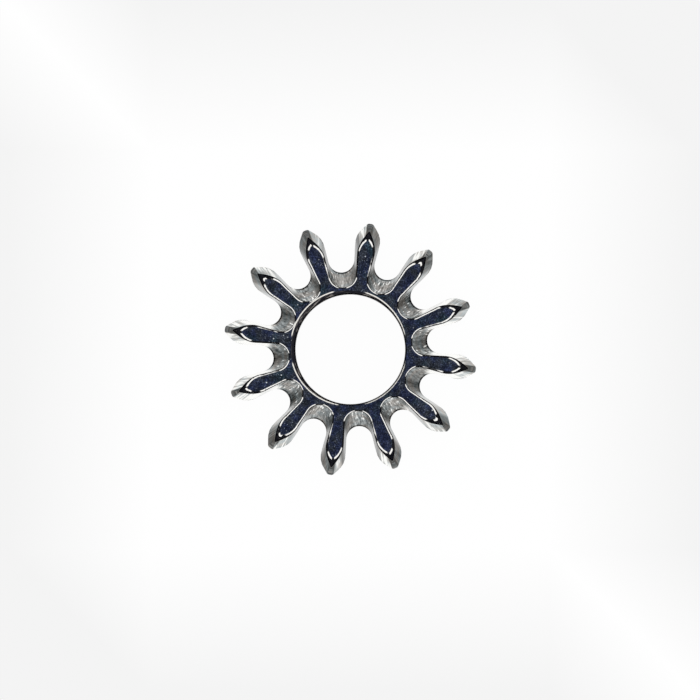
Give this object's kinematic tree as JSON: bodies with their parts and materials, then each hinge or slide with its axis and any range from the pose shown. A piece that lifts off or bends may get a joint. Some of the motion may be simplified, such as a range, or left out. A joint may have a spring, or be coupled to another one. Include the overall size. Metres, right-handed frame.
{
  "type": "setting wheel",
  "caption": "Small hardened-steel toothed wheel with a large plain bore and long, pointed, tapering teeth. It carries motion to the hands of a watch while they are set.",
  "frame": {"origin": "middle of the bore, half way between the polished face and the back face", "axes": "+Z along the bore's axis, out of the polished face; +X and +Y each through the middle of a tooth"},
  "size_m": [0.0026, 0.0026, 0.0006],
  "materials": {
    "steel": "polished face, cut and lightly tumbled teeth"
  },
  "bodies": {
    "root": {"setting_wheel": "steel"}
  },
  "joints": []
}
